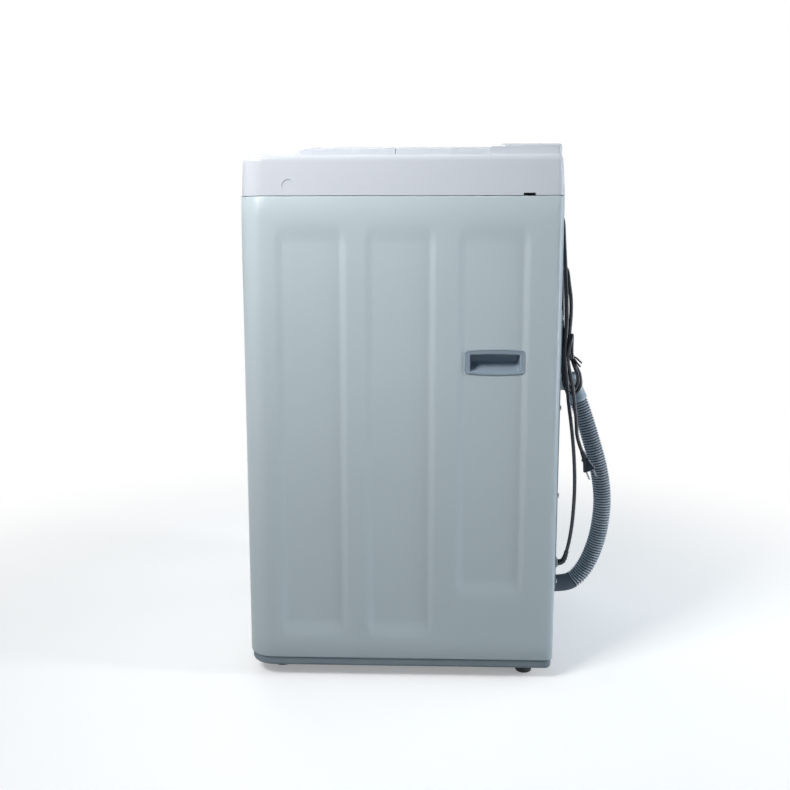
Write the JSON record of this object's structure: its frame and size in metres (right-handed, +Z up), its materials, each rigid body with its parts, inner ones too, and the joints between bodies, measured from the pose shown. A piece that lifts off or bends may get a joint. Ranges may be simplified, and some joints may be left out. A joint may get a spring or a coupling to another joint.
{
  "type": "top load washing machine",
  "caption": "Top load washing machine: a boxy steel cabinet with pressed side panels, a moulded top with a folding lid, and a hung tub with its belt drive and rear drain hose.",
  "frame": {"origin": "on the floor, under the centre of the cabinet", "axes": "+Z up, the control panel's side faces -Y, the drain hose is at +Y"},
  "size_m": [0.525, 0.6285, 0.889],
  "materials": {
    "cabinet_steel": "satin enamel",
    "back_steel": "galvanised and painted",
    "plated_steel": "zinc plated",
    "screw_steel": "bright plated",
    "basket_steel": "polished stainless",
    "cast_metal": "as cast",
    "cover_plastic": "gloss",
    "lid_plastic": "gloss",
    "fascia_plastic": "printed overlay",
    "button_plastic": "gloss",
    "grip_plastic": "fine texture",
    "base_plastic": "fine texture",
    "tub_plastic": "moulded polypropylene",
    "valve_plastic": "moulded nylon",
    "board_plastic": "potted",
    "drain_plastic": "corrugated polyethylene",
    "hose_rubber": "moulded",
    "cuff_rubber": "soft pale rubber",
    "cord_rubber": "smooth jacket",
    "foot_rubber": "moulded"
  },
  "bodies": {
    "cabinet": {"cabinet_shell": "cabinet_steel", "back_panel": "back_steel", "rear_access_cover": "back_steel", "rear_cover_screws": "screw_steel", "base_frame": "base_plastic", "rear_feet": "foot_rubber", "corner_brackets": "plated_steel", "side_grips": "grip_plastic", "top_cover": "cover_plastic", "rear_console": "cover_plastic", "control_fascia": "fascia_plastic", "control_board": "board_plastic", "dispenser_housing": "cover_plastic", "inlet_valve": "valve_plastic", "level_sensor": "valve_plastic", "air_hose": "hose_rubber", "lid_hinge_pins": "screw_steel", "suspension_rods": "screw_steel", "suspension_springs": "screw_steel", "drain_valve": "valve_plastic", "drain_actuator": "valve_plastic", "sump_bellows": "hose_rubber", "drain_hose": "drain_plastic", "hose_collar": "valve_plastic", "hose_cuff": "cuff_rubber", "hose_holder": "valve_plastic", "strain_relief": "valve_plastic", "power_cord_lead": "cord_rubber", "power_cord_hank": "cord_rubber", "power_cord_tail": "cord_rubber", "plug": "cord_rubber"},
    "left_foot": {"front_left_foot": "foot_rubber"},
    "right_foot": {"front_right_foot": "foot_rubber"},
    "lid_rear": {"lid_rear_panel": "lid_plastic", "lid_fold_pins": "screw_steel"},
    "lid_front": {"lid_front_panel": "lid_plastic"},
    "option_1": {"option_button_1": "button_plastic"},
    "option_2": {"option_button_2": "button_plastic"},
    "start": {"start_button": "button_plastic"},
    "power": {"power_button": "button_plastic"},
    "drawer": {"dispenser_drawer": "cover_plastic"},
    "tub": {"outer_tub": "tub_plastic", "tub_ring": "tub_plastic", "damper_sleeves": "valve_plastic", "gearbox": "cast_metal", "support_plate": "plated_steel", "shaft_bearings": "screw_steel", "tub_seal": "hose_rubber", "motor": "cast_metal", "drive_belt": "hose_rubber", "capacitor": "board_plastic"},
    "basket": {"wash_basket": "basket_steel", "balance_ring": "tub_plastic", "spin_shaft": "screw_steel"},
    "filter": {"lint_filter": "cover_plastic"},
    "pulsator": {"pulsator": "tub_plastic", "pulsator_shaft": "screw_steel"},
    "pulley": {"drive_pulley": "cast_metal"},
    "rotor": {"motor_pulley": "cast_metal"},
    "plunger": {"drain_plunger": "hose_rubber"}
  },
  "joints": [
    {"name": "lid_hinge", "type": "hinge", "parent": "cabinet", "child": "lid_rear", "pos_m": [0, 0.151, 0.87825], "axis": [-1, 0, 0], "range_deg": [0, 85]},
    {"name": "lid_fold", "type": "hinge", "parent": "lid_rear", "child": "lid_front", "pos_m": [0, -0.008, 0.872], "axis": [1, 0, 0], "range_deg": [0, 170]},
    {"name": "left_foot_screw", "type": "slide", "parent": "cabinet", "child": "left_foot", "axis": [0, 0, -1], "range_m": [0, 0.01]},
    {"name": "right_foot_screw", "type": "slide", "parent": "cabinet", "child": "right_foot", "axis": [0, 0, -1], "range_m": [0, 0.01]},
    {"name": "option_1_press", "type": "slide", "parent": "cabinet", "child": "option_1", "axis": [0, 0, -1], "range_m": [0, 0.0012], "stiffness_N_per_m": 900, "springref_m": -0.0006},
    {"name": "option_2_press", "type": "slide", "parent": "cabinet", "child": "option_2", "axis": [0, 0, -1], "range_m": [0, 0.0012], "stiffness_N_per_m": 900, "springref_m": -0.0006},
    {"name": "start_press", "type": "slide", "parent": "cabinet", "child": "start", "axis": [0, 0, -1], "range_m": [0, 0.0012], "stiffness_N_per_m": 900, "springref_m": -0.0006},
    {"name": "power_press", "type": "slide", "parent": "cabinet", "child": "power", "axis": [0, 0, -1], "range_m": [0, 0.0012], "stiffness_N_per_m": 900, "springref_m": -0.0006},
    {"name": "drawer_slide", "type": "slide", "parent": "cabinet", "child": "drawer", "axis": [0, -1, 0], "range_m": [0, 0.055]},
    {"name": "tub_bounce", "type": "slide", "parent": "cabinet", "child": "tub", "axis": [0, 0, 1], "range_m": [-0.01, 0.01], "stiffness_N_per_m": 16000, "springref_m": 0.01303, "deforming": ["suspension_springs", "sump_bellows", "air_hose"]},
    {"name": "basket_spin", "type": "hinge", "parent": "tub", "child": "basket", "pos_m": [0, 0, 0.25], "axis": [0, 0, 1], "continuous": true},
    {"name": "filter_slide", "type": "slide", "parent": "basket", "child": "filter", "axis": [0, 0, 1], "range_m": [0, 0.06]},
    {"name": "pulsator_spin", "type": "hinge", "parent": "basket", "child": "pulsator", "pos_m": [0, 0, 0.268], "axis": [0, 0, 1], "continuous": true},
    {"name": "pulley_spin", "type": "hinge", "parent": "tub", "child": "pulley", "pos_m": [0, 0, 0.092], "axis": [0, 0, 1], "continuous": true},
    {"name": "motor_spin", "type": "hinge", "parent": "tub", "child": "rotor", "pos_m": [-0.16, 0, 0.092], "axis": [0, 0, 1], "continuous": true},
    {"name": "plunger_pull", "type": "slide", "parent": "cabinet", "child": "plunger", "axis": [0, -1, 0], "range_m": [0, 0.012], "stiffness_N_per_m": 400, "springref_m": -0.006}
  ],
  "couplings": [
    {"joint": "lid_fold", "follows": "lid_hinge", "ratio": 2},
    {"joint": "pulley_spin", "follows": "pulsator_spin", "ratio": 5},
    {"joint": "motor_spin", "follows": "pulsator_spin", "ratio": 14.244}
  ]
}
